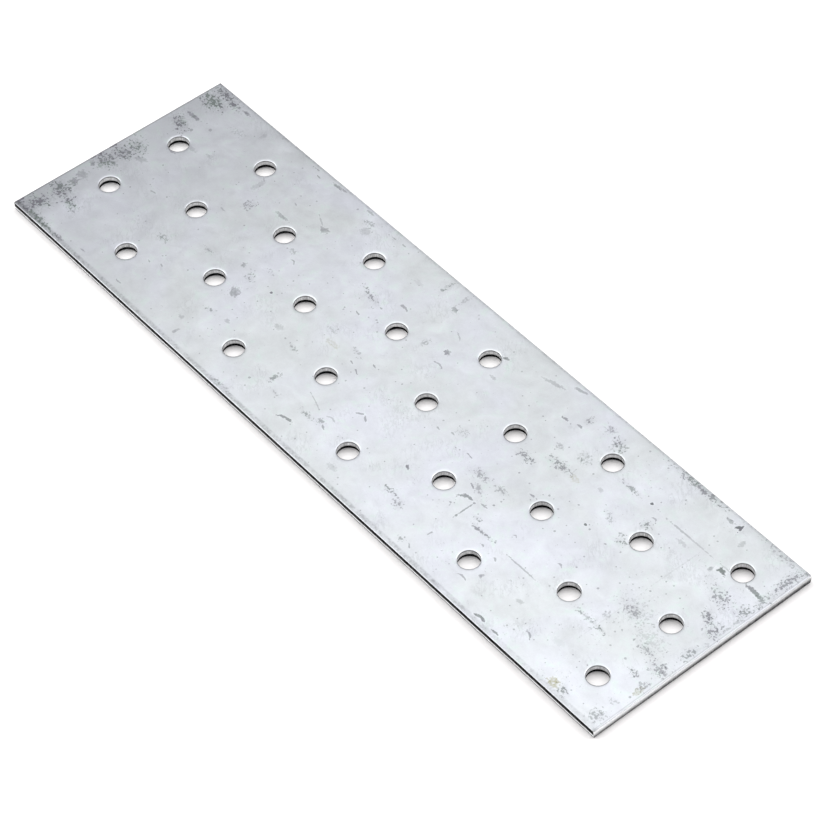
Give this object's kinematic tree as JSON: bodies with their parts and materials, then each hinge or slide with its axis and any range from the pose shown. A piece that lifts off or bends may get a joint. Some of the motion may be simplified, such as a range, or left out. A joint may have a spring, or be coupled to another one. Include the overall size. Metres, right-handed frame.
{
  "type": "mending plate",
  "caption": "Flat rectangular galvanised steel nail plate with staggered rows of punched round holes, for joining timbers face to face or end to end.",
  "frame": {"origin": "middle of the underside", "axes": "+X along the length towards the end whose last row has three holes, +Y across the width, +Z out of the top face, which has the rolled edges"},
  "size_m": [0.2, 0.06, 0.002],
  "materials": {
    "galvanised_sheet": "hot-dip galvanised, dull bright grey with light handling marks"
  },
  "bodies": {
    "root": {"plate": "galvanised_sheet"}
  },
  "joints": []
}
